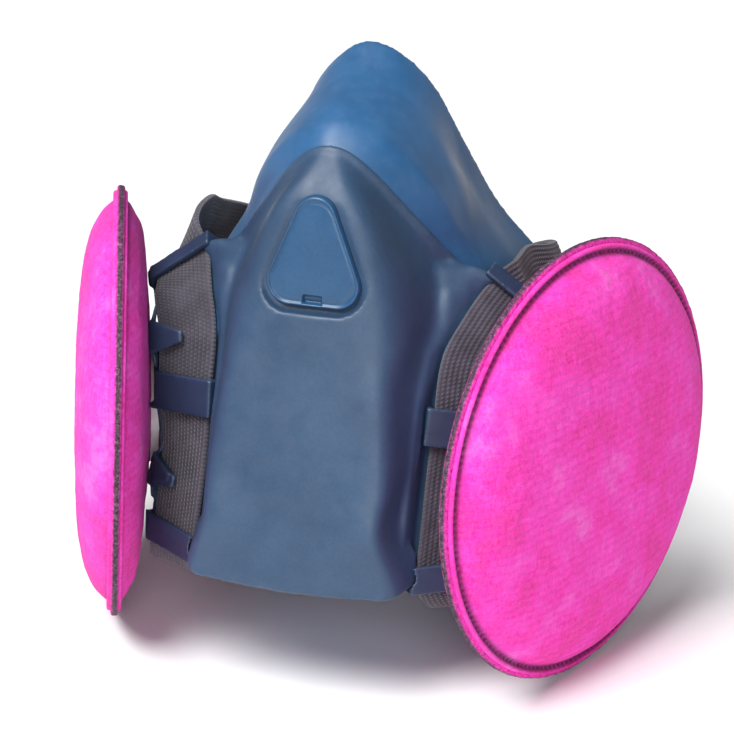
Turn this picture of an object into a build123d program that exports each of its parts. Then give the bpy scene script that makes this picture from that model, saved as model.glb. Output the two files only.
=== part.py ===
from build123d import *
import math
import os

# Half-face respirator with two pancake filters, in millimetres. +Z is up, -Y is the front and the
# wearer's face is towards +Y. The origin is on the mid-plane, midway between the two filters.

# ---- driving dimensions ------------------------------------------------------------------------

# Filters: a rim circle each, facing outwards, forwards and a little up.
FILTER_RADIUS = 53.0
FILTER_X = 58.2
FILTER_YAW = 21.9
FILTER_PITCH = 2.6
WELD_RADIUS = 51.8
FELT = 3.0
OUTER_DOME = [(0, 10.3), (10, 10.3), (22, 10.0), (34, 9.0), (42, 7.0), (46, 4.7), (49, 1.9), (WELD_RADIUS, 1.0)]
INNER_DOME = [(15.05, 7.9), (20, 7.4), (30, 6.6), (40, 5.8), (46, 4.0), (49, 1.7), (WELD_RADIUS, 0.9)]
MID_GAP = 0.05

# Bayonet, measured inwards from the rim plane along the port axis.
COLLAR_RADIUS = 15.0
COLLAR_CHANNEL = 14.3
COLLAR_LIP = 12.9
COLLAR_TOP = 5.4
COLLAR_SEAT = 8.4
LIP_START = 12.6
LIP_END = 14.4
NECK_RADIUS = 12.6
NECK_BORE = 10.4
NECK_END = 9.6
LUG_RADIUS = 14.0
LUG_START = 10.5
LUG_END = 12.3
LUG_ANGLE = 26
GAP_ANGLE = 32
TWIST = 90
PORT_FLANGE = 17.0
FLANGE_START = 14.9
FRAME_START = 15.9
WALL_START = 18.0
WALL_END = 20.6
PORT_END = 22.6

# Cover: at each height Z, the front line's Y, the half-width of its flat front, and its back edge.
COVER_ROWS = [
    (73.2, -10.6, 1.2, 2.4, -9.4),
    (70.0, -13.9, 3.4, 7.2, -8.9),
    (65.0, -18.2, 7.0, 11.6, -6.9),
    (60.0, -20.2, 10.0, 15.3, -4.7),
    (52.0, -21.9, 12.4, 21.4, -1.2),
    (44.6, -23.8, 14.0, 27.3, 3.2),
    (36.0, -26.3, 15.6, 30.3, 0.0),
    (27.0, -29.1, 17.0, 27.2, -11.0),
    (17.0, -32.5, 18.4, 25.8, -18.0),
    (0.0, -38.0, 20.3, 25.2, -25.0),
    (-12.0, -41.5, 21.4, 25.2, -29.0),
    (-23.0, -43.6, 22.2, 25.2, -32.5),
]
COVER_WALL = 2.4
CHAMBER = 8.0
SEAL_WALL = 2.5

# Badge well in the cover, and the badge in it.
BADGE_CENTRE = (-21.7, 52.6)
BADGE_TILT = 8.0
BADGE_WIDTH = 22.5
BADGE_HEIGHT = 26.0
BADGE_CORNER = 5.5
BADGE_POINT = 5.0
BADGE_GAP = 1.3
WELL_DEPTH = 1.4

# Seal cup: half outlines (X, Z) from the nose round the cheek to the chin, at each depth Y.
CUP_ROWS = [
    (-11.0, [(0, 62), (8, 59.5), (12.5, 53), (16, 45), (20, 36), (27.5, 25),
             (33, 8), (32, -8), (27, -20), (16, -29), (0, -33)]),
    (-4.0, [(0, 76.6), (8.2, 72.4), (15, 62.0), (19.4, 52.8), (23, 44), (30.5, 32.5),
            (37.2, 10), (36.5, -8), (31.5, -22), (19, -33), (0, -37.5)]),
    (10.0, [(0, 82.4), (9.4, 78.0), (17.2, 64.6), (22.8, 54.3), (28.8, 45.0), (37.0, 32.5),
            (43.5, 10), (42, -8), (36, -22), (22, -35), (0, -41)]),
    (25.0, [(0, 89.6), (10.0, 85.2), (19.4, 66), (25.0, 55), (31.4, 46), (40.4, 32),
            (48.5, 10), (46.5, -9), (39, -24), (24, -37), (0, -43.3)]),
    (46.0, [(0, 94.4), (11, 90), (21.0, 68.5), (26.4, 57.5), (33, 47.5), (42.4, 33),
            (49.8, 10), (47.5, -9), (40, -25), (24.5, -38), (0, -44)]),
]
RIM_LINE = [(25.5, 99), (25.5, 88), (28.5, 75), (33.5, 60), (38.5, 40), (41, 20),
            (41.5, 5), (38.5, -12), (32, -27), (22, -38), (12, -49), (9, -60)]
# The mouth: the half outline (X, Z) of the opening for the wearer's nose, mouth and chin.
MOUTH = [(0, 76), (5.5, 72.5), (11, 61), (16.5, 50.5), (23, 41), (30.5, 29),
         (37.5, 9), (36, -7.5), (29, -20), (18, -28.5), (0, -32)]
MOUTH_START = 15.0

# Straps: woven elastic. Each rail pair is the strap's inner and outer edge at one station.
STRAP_WIDTH = 16.5
STRAP_THICK = 1.6
# The right strap: from behind the upper guide, down the front and back under the jaw to the buckle.
STRAP_RAILS = [
    ((44.6, 24.0, 47.9), (44.6, 24.0, 31.4)),
    ((44.4, 14.5, 47.4), (44.8, 14.5, 30.9)),
    ((40.4, 9.0, 45.6), (47.2, 9.4, 30.7)),
    ((35.2, 4.6, 41.4), (48.4, 5.4, 31.6)),
    ((31.2, -4.5, 35.0), (46.6, -2.6, 28.9)),
    ((27.8, -11.6, 26.0), (43.2, -8.3, 22.0)),
    ((27.4, -17.0, 11.5), (42.4, -11.0, 9.5)),
    ((27.0, -20.4, 1.0), (41.2, -12.4, 0.0)),
    ((27.0, -24.5, -9.5), (40.8, -15.4, -9.5)),
    ((27.2, -29.5, -22.0), (41.0, -20.4, -22.0)),
    ((28.0, -28.6, -27.0), (42.2, -20.2, -27.0)),
    ((28.6, -22.5, -31.8), (43.8, -16.0, -31.8)),
    ((28.6, -10.0, -35.5), (44.8, -6.0, -35.5)),
    ((27.6, 10.0, -41.0), (44.1, 11.0, -41.0)),
    ((24.0, 35.0, -47.5), (40.4, 36.5, -47.5)),
    ((17.0, 56.0, -51.2), (32.2, 62.5, -51.2)),
    ((10.0, 73.0, -51.4), (26.0, 77.0, -51.4)),
    ((8.5, 86.0, -51.4), (25.0, 86.0, -51.4)),
    ((8.5, 116.0, -51.4), (25.0, 116.0, -51.4)),
]
GUIDE_STATION = 3
HOOK_STATIONS = (5, 8)
MIDDLE_STATION = 6
BRACKET_STATION = 9
BUCKLE_STATION = 18
FRAME_RADIUS = 20.0

# Head harness, dropped down behind the mask: it swings up about an axis along X.
SWING_Y = 24.0
SWING_Z = 39.65
HEAD_RAILS = [
    ((46.8, 24.0, 47.9), (46.8, 24.0, 31.4)),
    ((46.8, 34.0, 48.0), (47.2, 34.0, 31.5)),
    ((43.0, 46.0, 45.6), (47.0, 47.8, 29.7)),
    ((35.5, 55.0, 40.0), (41.0, 58.5, 24.8)),
    ((28.0, 63.0, 28.0), (37.0, 66.5, 14.6)),
    ((22.8, 69.5, 16.0), (39.2, 69.5, 14.6)),
    ((22.6, 69.5, 8.0), (39.1, 69.5, 8.0)),
    ((22.6, 69.5, -13.5), (39.1, 69.5, -13.5)),
]
ADJUSTER_Z = 4.0
CRADLE_WIDTH = 94.0
CRADLE_HEIGHT = 46.0
CRADLE_TOP = -3.5
CRADLE_Y = 70.6
CRADLE_THICK = 1.8
CRADLE_BAND = 13.0

os.makedirs("parts", exist_ok=True)


def save(name, shape):
    export_step(shape, os.path.join("parts", name + ".step"))


def main_solid(shape):
    return max(shape.solids(), key=lambda piece: piece.volume)


# ---- helpers ---------------------------------------------------------------------------------


def side_plane(side):
    """A filter's rim plane, facing outwards: side is 1 for the right and -1 for the left."""
    yaw = math.radians(FILTER_YAW)
    pitch = math.radians(FILTER_PITCH)
    normal = (side * math.cos(pitch) * math.cos(yaw), -math.cos(pitch) * math.sin(yaw), math.sin(pitch))
    along = (side * math.sin(yaw), math.cos(yaw), 0)
    return Plane(origin=(side * FILTER_X, 0, 0), x_dir=along, z_dir=normal)


def place(side, shape):
    return side_plane(side).location * shape


def tube(outer, inner, start, end):
    """A ring between two depths below the rim plane."""
    ring = Cylinder(outer, end - start) - Cylinder(inner, end - start + 2)
    return Pos(0, 0, -(start + end) / 2) * ring


def disc(radius, start, end):
    return Pos(0, 0, -(start + end) / 2) * Cylinder(radius, end - start)


def wedge(radius, angle, middle, start, end):
    """A sector of a disc, centred on an angle."""
    low = math.radians(middle - angle / 2)
    high = math.radians(middle + angle / 2)
    reach = radius / math.cos((high - low) / 2)
    a = (reach * math.cos(low), reach * math.sin(low))
    b = (reach * math.cos(high), reach * math.sin(high))
    sector = make_face(Polyline((0, 0), a, b, close=True))
    return Pos(0, 0, -end) * extrude(sector, amount=end - start)


def revolved(skin, back):
    """A solid of revolution about the port axis: a smooth skin and a back of straight runs."""
    skin = [(r, 0, z) for r, z in skin]
    back = [(r, 0, z) for r, z in back]
    flat = []
    if skin[0][0] == 0:
        flat = [Line(skin[0], skin[1])]
        skin = skin[1:]
    level = (1, 0, 0)
    fall = (1, 0, (skin[-1][2] - skin[-2][2]) / (skin[-1][0] - skin[-2][0]))
    curve = Spline(*skin, tangents=(level, fall))
    start = flat[0] @ 0 if flat else skin[0]
    lines = flat + [curve, Line(skin[-1], back[0]), *Polyline(*back).edges(), Line(back[-1], start)]
    return revolve(make_face(Wire(lines)), axis=Axis.Z)


def mirrored(shape):
    return mirror(shape, about=Plane.YZ)


def strap_plane(rails, index):
    """The section plane of a strap at one station: X along its width, Z along its path."""
    inner, outer = (Vector(*p) for p in rails[index])
    before = rails[max(index - 1, 0)]
    after = rails[min(index + 1, len(rails) - 1)]
    start = (Vector(*before[0]) + Vector(*before[1])) * 0.5
    end = (Vector(*after[0]) + Vector(*after[1])) * 0.5
    across = (outer - inner).normalized()
    along = end - start
    along = (along - across * along.dot(across)).normalized()
    return Plane(origin=(inner + outer) * 0.5, x_dir=across, z_dir=along)


def strap(rails, grow=0.0):
    section = Rectangle(STRAP_WIDTH + 2 * grow, STRAP_THICK + 2 * grow)
    return loft([strap_plane(rails, i) * section for i in range(len(rails))], ruled=True)


def strap_loop(rails, index, depth, wall, room=0.6):
    """A closed loop round a strap at one station."""
    outer = Rectangle(STRAP_WIDTH + 2 * room + 2 * wall, STRAP_THICK + 2 * room + 2 * wall)
    inner = Rectangle(STRAP_WIDTH + 2 * room, STRAP_THICK + 2 * room)
    return strap_plane(rails, index) * (Pos(0, 0, -depth / 2) * extrude(outer - inner, amount=depth))


def strut(start, end, width, height):
    """A straight bar between two points."""
    a, b = Vector(*start), Vector(*end)
    bar = Plane(origin=a, z_dir=(b - a).normalized()) * Rectangle(width, height)
    return extrude(bar, amount=(b - a).length)


# ---- filters ---------------------------------------------------------------------------------


def outer_back():
    return [(r, max(z - FELT, MID_GAP)) for r, z in reversed(OUTER_DOME)]


def inner_back():
    return [(r, min(FELT - z, -MID_GAP)) for r, z in reversed(INNER_DOME)]


def filter_outer_felt():
    return revolved(OUTER_DOME, outer_back())


def filter_inner_felt():
    return revolved([(r, -z) for r, z in INNER_DOME], inner_back())


def filter_media():
    """The filter medium: it fills the space between the two felts."""
    top = [(r, 0, z - MID_GAP) for r, z in outer_back() if z > 2 * MID_GAP]
    low = [(r, 0, z + MID_GAP) for r, z in inner_back() if z < -2 * MID_GAP]
    rim = (46.0, 0, 0)
    shape = make_face(Polyline(*reversed(top), rim, *low, (0, 0, low[-1][2]), close=True))
    return revolve(shape, axis=Axis.Z) - disc(COLLAR_RADIUS + 0.3, COLLAR_TOP - 1.2, 20)


def filter_weld():
    """The welded edge: a thin ring with a chamfered outer edge."""
    half = 0.95
    inner = WELD_RADIUS + 0.02
    section = Polyline((inner, 0, half), (FILTER_RADIUS - 0.5, 0, half), (FILTER_RADIUS, 0, half - 0.5),
                       (FILTER_RADIUS, 0, 0.5 - half), (FILTER_RADIUS - 0.5, 0, -half), (inner, 0, -half),
                       close=True)
    return revolve(make_face(section), axis=Axis.Z)


def filter_collar():
    """The socket: a tube with a seat, an inner lip cut by three gaps, and three stops."""
    body = tube(COLLAR_RADIUS, COLLAR_CHANNEL, COLLAR_SEAT, LIP_END)
    body += tube(COLLAR_RADIUS, NECK_BORE - 1.0, COLLAR_TOP, COLLAR_SEAT)
    lip = tube(COLLAR_CHANNEL + 0.2, COLLAR_LIP, LIP_START, LIP_END)
    for turn in (0, 120, 240):
        lip -= wedge(COLLAR_RADIUS, GAP_ANGLE, turn - TWIST, LIP_START - 1, LIP_END + 1)
        stop = wedge(COLLAR_RADIUS, 2.4, turn + 15.0, COLLAR_SEAT - 0.2, LIP_END - 0.2)
        body += stop & tube(COLLAR_CHANNEL + 0.2, COLLAR_LIP + 0.2, COLLAR_SEAT - 0.2, LIP_END - 0.2)
        arm = wedge(COLLAR_RADIUS, 10, turn, COLLAR_TOP, COLLAR_TOP + 1.6)
        body += arm & tube(NECK_BORE, 2.0, COLLAR_TOP, COLLAR_TOP + 1.6)
    body += disc(2.6, COLLAR_TOP, COLLAR_TOP + 1.6)
    return body + lip


# ---- ports and valves ------------------------------------------------------------------------


def inhalation_port():
    """The neck with its lugs, the flanges each side of the seal, and the spoked valve seat."""
    body = tube(NECK_RADIUS, NECK_BORE, NECK_END, PORT_END)
    body += tube(PORT_FLANGE, NECK_BORE, FLANGE_START, FRAME_START)
    body += tube(PORT_FLANGE - 0.5, NECK_BORE, WALL_END + 0.1, PORT_END)
    for turn in (0, 120, 240):
        lug = wedge(LUG_RADIUS + 1, LUG_ANGLE, turn, LUG_START, LUG_END)
        body += lug & tube(LUG_RADIUS, NECK_RADIUS - 1, LUG_START, LUG_END)
        spoke = Rot(0, 0, turn) * Box(NECK_BORE + 0.5, 1.6, 1.6, align=(Align.MIN, Align.CENTER, Align.MAX))
        body += Pos(0, 0, -(PORT_END - 1.6)) * spoke
    body += disc(2.6, PORT_END - 1.6, PORT_END)
    body += disc(1.2, PORT_END, PORT_END + 3.4)
    body += disc(2.2, PORT_END + 3.0, PORT_END + 3.8)
    return body


def port_gasket():
    return tube(NECK_RADIUS - 0.2, NECK_BORE + 0.2, COLLAR_SEAT + 0.1, NECK_END)


def inhalation_valve():
    return tube(NECK_BORE + 1.4, 1.25, PORT_END + 0.05, PORT_END + 0.6)


EXHALE_Z = 1.0
EXHALE_RADIUS = 12.0


def exhale_plane():
    """The exhalation valve's seat, parallel to the cover's front and a chamber behind it."""
    top = row_at(EXHALE_Z + 8)
    low = row_at(EXHALE_Z - 8)
    slope = math.atan2(top - low, 16)
    y = (top + low) / 2 + CHAMBER
    return Plane(origin=(0, y, EXHALE_Z), x_dir=(1, 0, 0), z_dir=(0, -math.cos(slope), math.sin(slope)))


def row_at(z):
    """The cover's front line Y at a height."""
    for high, low in zip(COVER_ROWS, COVER_ROWS[1:]):
        if low[0] <= z <= high[0]:
            share = (z - low[0]) / (high[0] - low[0])
            return low[1] + share * (high[1] - low[1])
    return COVER_ROWS[-1][1]


def exhalation_seat():
    body = tube(EXHALE_RADIUS + 1.6, EXHALE_RADIUS - 1.4, -1.4, 0.0)
    body += tube(EXHALE_RADIUS, EXHALE_RADIUS - 1.4, -0.2, 2.8)
    body += tube(EXHALE_RADIUS + 1.6, EXHALE_RADIUS - 1.4, 2.75, 3.8)
    for turn in (0, 90, 180, 270):
        spoke = Rot(0, 0, turn) * Box(EXHALE_RADIUS - 1, 1.4, 1.6, align=(Align.MIN, Align.CENTER, Align.MIN))
        body += Pos(0, 0, -0.4) * spoke
    body += disc(2.4, -1.2, 0.4)
    body += disc(1.1, -4.1, -1.0)
    body += disc(2.0, -4.4, -3.9)
    return body


def exhalation_valve():
    return tube(EXHALE_RADIUS + 0.6, 1.15, -2.0, -1.45)


# ---- cover -----------------------------------------------------------------------------------


def cover_section(row, front, side, back):
    """One horizontal section of the cover's body, drawn in by front and side."""
    z, front_y, flat, edge_x, edge_y = row
    x = edge_x - 1.1 * side
    y = front_y + front
    share = x / edge_x
    flat = flat * share
    corner = (flat + 0.12 * (x - flat), y + 0.11 * (edge_y - y))
    middle = (flat + 0.5 * (x - flat), y + 0.5 * (edge_y - y))
    half = [(0.6 * flat, y + 0.02 * (edge_y - y)), corner, middle, (x, edge_y)]
    points = [(-px, py, z) for px, py in reversed(half)] + [(0, y, z)] + [(px, py, z) for px, py in half]
    lines = [Spline(*points)]
    if back is None:
        lines.append(Line(points[-1], points[0]))
    else:
        rear = max(edge_y + 3.0, back)
        lines.append(Line(points[-1], (x, rear, z)))
        lines.append(Line((x, rear, z), (-x, rear, z)))
        lines.append(Line((-x, rear, z), points[0]))
    return make_face(Wire(lines))


def cover_body(front, side, back=None, skip=0):
    rows = COVER_ROWS[skip:]
    return loft([cover_section(row, front, side, back) for row in rows])


def badge_outline(grow):
    """A rounded triangle with its point up, in the badge's own plane."""
    low = BADGE_CORNER - BADGE_HEIGHT / 2
    high = BADGE_HEIGHT / 2 - BADGE_POINT
    side = BADGE_WIDTH / 2 - BADGE_CORNER
    corners = [(-side, low, BADGE_CORNER), (side, low, BADGE_CORNER), (0, high, BADGE_POINT)]
    return make_hull([(Pos(x, y) * Circle(radius + grow)).edge() for x, y, radius in corners])


def badge_plane():
    tilt = math.radians(BADGE_TILT)
    centre_y, centre_z = BADGE_CENTRE
    return Plane(origin=(0, centre_y, centre_z), x_dir=(1, 0, 0), z_dir=(0, -math.cos(tilt), math.sin(tilt)))


def front_cover():
    shell = cover_body(0, 0) - cover_body(COVER_WALL, COVER_WALL, back=-5.0, skip=1)
    well = badge_plane() * Pos(0, 0, -WELL_DEPTH) * extrude(badge_outline(BADGE_GAP), amount=12)
    shell = shell - well
    for clear in (strap(STRAP_RAILS[:BRACKET_STATION + 2], 0.5), guide_loop()):
        shell = shell - clear - mirrored(clear)
    floor = badge_plane() * Pos(0, 0, -WELL_DEPTH - 1.2) * extrude(badge_outline(BADGE_GAP + 0.8), amount=1.2)
    return main_solid(shell + (floor & cover_body(0.3, 0.3)))


def size_badge():
    return badge_plane() * Pos(0, 0, -WELL_DEPTH) * extrude(badge_outline(0), amount=WELL_DEPTH)


# ---- face seal -------------------------------------------------------------------------------


def inset(points, depth):
    """A half outline moved inwards by a depth."""
    whole = [(-points[1][0], points[1][1]), *points, (-points[-2][0], points[-2][1])]
    moved = []
    for before, here, after in zip(whole, whole[1:], whole[2:]):
        dx, dz = after[0] - before[0], after[1] - before[1]
        size = math.hypot(dx, dz)
        moved.append((here[0] + depth * dz / size, here[1] - depth * dx / size))
    moved[0] = (0, moved[0][1])
    moved[-1] = (0, moved[-1][1])
    return moved


def cup_body(depth):
    """The cup's outline lofted through its depth stations, moved inwards by depth."""
    faces = []
    for y, points in CUP_ROWS:
        half = inset(points, depth)
        loop = half + [(-x, z) for x, z in reversed(half[1:-1])]
        ring = Spline(*[(x, y, z) for x, z in loop], periodic=True)
        faces.append(make_face(ring))
    return loft(faces)


def rim_prism(shift):
    """Everything in front of the rim line, seen from the side."""
    edge = Spline(*[(0, y - shift, z) for y, z in RIM_LINE])
    first, last = RIM_LINE[0], RIM_LINE[-1]
    back = Polyline((0, last[0] - shift, last[1]), (0, -80, last[1]), (0, -80, first[1]),
                    (0, first[0] - shift, first[1]))
    return extrude(make_face(Wire([edge, *back.edges()])), amount=80, dir=(1, 0, 0), both=True)


def face_seal():
    outer = cup_body(0) & rim_prism(0)
    behind = Pos(0, CUP_ROWS[0][0] + SEAL_WALL, 0) * Box(300, 100, 300, align=(Align.CENTER, Align.MIN, Align.CENTER))
    hollow = cup_body(SEAL_WALL) & rim_prism(SEAL_WALL) & behind
    mouth = MOUTH + [(-x, z) for x, z in reversed(MOUTH[1:-1])]
    mouth = make_face(Spline(*[(x, MOUTH_START, z) for x, z in mouth], periodic=True))
    mouth = extrude(mouth, amount=60, dir=(0, 1, 0))
    cup = outer - hollow - mouth
    snout = cover_body(CHAMBER, COVER_WALL + 0.3, back=-9.0, skip=2)
    cavity = cover_body(CHAMBER + SEAL_WALL, COVER_WALL + 0.3 + SEAL_WALL, back=-6.0, skip=3)
    front = Pos(0, -40, -60) * Box(200, 160, 200, align=(Align.CENTER, Align.CENTER, Align.MIN))
    cavity = cavity & (Pos(0, 0, -20.5) * Box(200, 200, 200, align=(Align.CENTER, Align.CENTER, Align.MIN)))
    shape = (cup + (snout & front)) - cavity - hollow
    shape -= cover_body(-0.1, -0.1) - cover_body(COVER_WALL + 0.1, COVER_WALL + 0.1, back=-5.0, skip=1)
    shape -= exhale_plane() * disc(EXHALE_RADIUS + 0.05, -6, 8)
    shape -= exhale_plane() * disc(EXHALE_RADIUS + 1.7, -8, 0.02)
    shape -= exhale_plane() * disc(EXHALE_RADIUS + 1.7, 2.7, 9)
    for side in (1, -1):
        shape -= place(side, disc(NECK_RADIUS + 0.05, 10, 30))
        shape -= place(side, disc(PORT_FLANGE + 6, 5, WALL_START))
        shape -= place(side, tube(PORT_FLANGE + 1, 0.5, WALL_END, 30))
    clear = strap(STRAP_RAILS[:BRACKET_STATION + 2], 0.3)
    return main_solid(shape - clear - mirrored(clear))


# ---- strap frames, straps and harness --------------------------------------------------------


def hook(station):
    """A rounded tooth over the strap's outer edge, pointing inwards, with its root beyond the edge."""
    edge = STRAP_WIDTH / 2
    tooth = make_face(Polyline((edge + 2.6, 0, 3.8), (edge + 0.6, 0, 3.8), (edge - 6.6, 0, 0.9),
                               (edge - 6.6, 0, -0.9), (edge + 0.6, 0, -3.8), (edge + 2.6, 0, -3.8), close=True))
    plate = extrude(tooth, amount=0.9, dir=(0, 1, 0), both=True)
    root = Pos(edge + 1.9, 0.4, 0) * Box(1.4, 5.0, 5.0)
    return strap_plane(STRAP_RAILS, station) * (Pos(0, STRAP_THICK / 2 + 1.6, 0) * plate + root)


def frame_point(angle, radius=FRAME_RADIUS - 1.5):
    """A point on the frame's ring: angle 0 is at the front, 90 at the top."""
    turn = math.radians(180 - angle)
    depth = -(FRAME_START + WALL_START) / 2
    point = Vector(radius * math.cos(turn), radius * math.sin(turn), depth)
    return side_plane(1).from_local_coords(point)


def edge_point(station, beyond, behind=0.0):
    """A point beyond the strap's outer edge at a station, and behind its face."""
    local = Vector(STRAP_WIDTH / 2 + beyond, -behind, 0)
    return strap_plane(STRAP_RAILS, station).from_local_coords(local)


def guide_loop():
    return strap_loop(STRAP_RAILS, GUIDE_STATION, 4.0, 1.5)


def strap_frame():
    """The ring round the port with the upper guide, the middle bar, the bracket and the hooks."""
    body = guide_loop()
    body += strap_loop(STRAP_RAILS, MIDDLE_STATION, 9.0, 1.5)
    body += strap_loop(STRAP_RAILS, BRACKET_STATION, 6.5, 1.5)
    body += hook(HOOK_STATIONS[0]) + hook(HOOK_STATIONS[1])
    body += strut(frame_point(88), edge_point(GUIDE_STATION, 0.6, 2.2), 4.0, 2.2)
    body += strut(frame_point(58), edge_point(HOOK_STATIONS[0], 2.0, 1.4), 3.4, 2.0)
    body += strut(frame_point(30), edge_point(MIDDLE_STATION, -3.0, 2.4), 6.0, 2.0)
    body += strut(frame_point(-24), edge_point(HOOK_STATIONS[1], 2.0, 1.4), 3.4, 2.0)
    body += strut(frame_point(-62), edge_point(BRACKET_STATION, 0.2, 2.2), 4.0, 2.2)
    body -= cup_body(-0.3) + cover_body(-0.3, -0.3)
    body += place(1, tube(FRAME_RADIUS, NECK_RADIUS + 0.1, FRAME_START + 0.02, WALL_START - 0.1))
    body -= strap(STRAP_RAILS[:BRACKET_STATION + 3], 0.4)
    body -= place(1, disc(PORT_FLANGE + 0.1, 0, FRAME_START + 0.02))
    body -= place(1, disc(30.0, -20, 8.6))
    body -= place(1, disc(60.0, -20, 7.1))
    body -= Pos(20.0, -28.0, -21.5) * Box(13.8, 8.0, 6.4)
    return main_solid(body)


def round_end(rails, index):
    """A half disc on a strap's end, centred on the swing axis."""
    plane = strap_plane(rails, index)
    half = Cylinder(STRAP_WIDTH / 2, STRAP_THICK, rotation=(90, 0, 0))
    return plane * half


def side_strap():
    return strap(STRAP_RAILS) + round_end(STRAP_RAILS, 0)


def head_strap():
    return strap(HEAD_RAILS) + round_end(HEAD_RAILS, 0)


def strap_slide(rails, index, shift, height):
    """A flat adjuster with two slots, threaded on a strap."""
    outer = Rectangle(STRAP_WIDTH + 6.0, 4.6)
    gap = Rectangle(STRAP_WIDTH + 1.2, STRAP_THICK + 1.2)
    body = extrude(outer - gap, amount=height)
    groove = Pos(0, 3.0, height / 2) * Box(STRAP_WIDTH + 1.2, 3.4, height - 5.0)
    return strap_plane(rails, index) * (Pos(0, 0, shift - height / 2) * (body - groove))


def head_cradle():
    """A flexible plate with an opening and two strap slots, standing on its lower edge."""
    outline = RectangleRounded(CRADLE_WIDTH, CRADLE_HEIGHT, 12)
    opening = RectangleRounded(CRADLE_WIDTH - 2 * CRADLE_BAND - 14, CRADLE_HEIGHT - 2 * CRADLE_BAND, 6)
    plate = outline - Pos(0, -1.5) * opening
    slot_x = (HEAD_RAILS[-1][0][0] + HEAD_RAILS[-1][1][0]) / 2
    for x in (slot_x, -slot_x):
        plate -= Pos(x, CRADLE_HEIGHT / 2 - 6.5) * RectangleRounded(STRAP_WIDTH + 2, 3.2, 1.2)
    middle = Plane(origin=(0, CRADLE_Y, CRADLE_TOP - CRADLE_HEIGHT / 2), x_dir=(-1, 0, 0), z_dir=(0, 1, 0))
    return middle * extrude(plate, amount=CRADLE_THICK)


def buckle_body():
    """The part of a neck buckle that the strap threads through, in the strap's section plane."""
    outer = Rectangle(STRAP_WIDTH + 6.0, 4.2)
    gap = Rectangle(STRAP_WIDTH + 1.2, STRAP_THICK + 1.0)
    return Pos(0, 0, -16) * extrude(outer - gap, amount=18)


def neck_buckle_hook():
    """The half with a tongue above the strap's tail, and a lip at its end."""
    tongue = Pos(0, -2.0, -2.0) * extrude(Rectangle(12, 1.6), amount=17.5)
    lip = Pos(0, -0.6, 13.0) * extrude(Rectangle(12, 3.2), amount=2.5)
    return strap_plane(STRAP_RAILS, BUCKLE_STATION) * (buckle_body() + tongue + lip)


def neck_buckle_loop():
    """The half with a window that the other half's lip drops into."""
    plate = Pos(0, -2.0, -2.0) * extrude(Rectangle(STRAP_WIDTH + 6.0, 1.6), amount=17)
    window = Pos(0, -2.0, 4.0) * extrude(Rectangle(14.5, 8), amount=7)
    return strap_plane(STRAP_RAILS, BUCKLE_STATION) * (buckle_body() + plate - window)


# ---- write every piece -----------------------------------------------------------------------

save("front_cover", front_cover())
save("size_badge", size_badge())
save("face_seal", face_seal())
save("exhalation_valve_seat", exhale_plane() * exhalation_seat())
save("exhalation_valve", exhale_plane() * exhalation_valve())
save("head_cradle", head_cradle())
save("neck_buckle_hook", neck_buckle_hook())
save("neck_buckle_loop", mirrored(neck_buckle_loop()))

for side, name in ((1, "right"), (-1, "left")):
    save(name + "_filter_outer_felt", place(side, filter_outer_felt()))
    save(name + "_filter_inner_felt", place(side, filter_inner_felt()))
    save(name + "_filter_media", place(side, filter_media()))
    save(name + "_filter_weld", place(side, filter_weld()))
    save(name + "_filter_collar", place(side, filter_collar()))
    save(name + "_inhalation_port", place(side, inhalation_port()))
    save(name + "_port_gasket", place(side, port_gasket()))
    save(name + "_inhalation_valve", place(side, inhalation_valve()))

PAIRS = {
    "strap_frame": strap_frame(),
    "strap": side_strap(),
    "head_strap": head_strap(),
    "head_adjuster": strap_slide(HEAD_RAILS, 6, 8.0 - ADJUSTER_Z, 9.0),
}
for name, shape in PAIRS.items():
    save("right_" + name, shape)
    save("left_" + name, mirrored(shape))
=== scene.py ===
"""Looks of a half-face respirator with two pancake filters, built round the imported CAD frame.

+Z is up, -Y is the front, and the wearer's face is towards +Y. Tables are in millimetres.
"""
import bpy
import bmesh
import math
import numpy as np
from mathutils import Matrix, Vector, noise


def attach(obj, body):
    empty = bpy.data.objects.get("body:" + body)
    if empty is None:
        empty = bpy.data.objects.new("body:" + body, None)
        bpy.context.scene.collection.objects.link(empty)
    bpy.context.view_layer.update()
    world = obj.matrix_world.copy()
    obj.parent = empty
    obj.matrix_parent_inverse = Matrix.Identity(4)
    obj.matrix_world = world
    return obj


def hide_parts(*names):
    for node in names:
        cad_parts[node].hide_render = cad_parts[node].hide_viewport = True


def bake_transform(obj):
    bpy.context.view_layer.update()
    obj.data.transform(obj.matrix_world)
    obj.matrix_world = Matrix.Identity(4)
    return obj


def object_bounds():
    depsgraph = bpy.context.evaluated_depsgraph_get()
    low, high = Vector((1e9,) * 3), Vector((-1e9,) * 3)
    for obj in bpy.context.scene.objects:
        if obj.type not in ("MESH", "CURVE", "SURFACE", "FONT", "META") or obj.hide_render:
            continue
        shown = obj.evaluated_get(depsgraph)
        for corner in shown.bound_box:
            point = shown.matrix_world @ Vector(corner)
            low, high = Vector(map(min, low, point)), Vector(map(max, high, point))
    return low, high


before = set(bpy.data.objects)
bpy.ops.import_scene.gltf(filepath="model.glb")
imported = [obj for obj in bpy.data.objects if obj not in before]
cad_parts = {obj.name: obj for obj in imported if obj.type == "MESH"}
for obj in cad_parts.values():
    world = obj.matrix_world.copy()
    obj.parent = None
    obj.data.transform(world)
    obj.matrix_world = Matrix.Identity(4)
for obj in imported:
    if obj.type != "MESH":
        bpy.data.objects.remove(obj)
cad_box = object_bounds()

MM = 0.001
SIDES = ((1, "right"), (-1, "left"))

# ---- dimensions shared with the CAD ------------------------------------------------------------

FILTER_X = 58.2
FILTER_YAW = 21.9
FILTER_PITCH = 2.6

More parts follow.
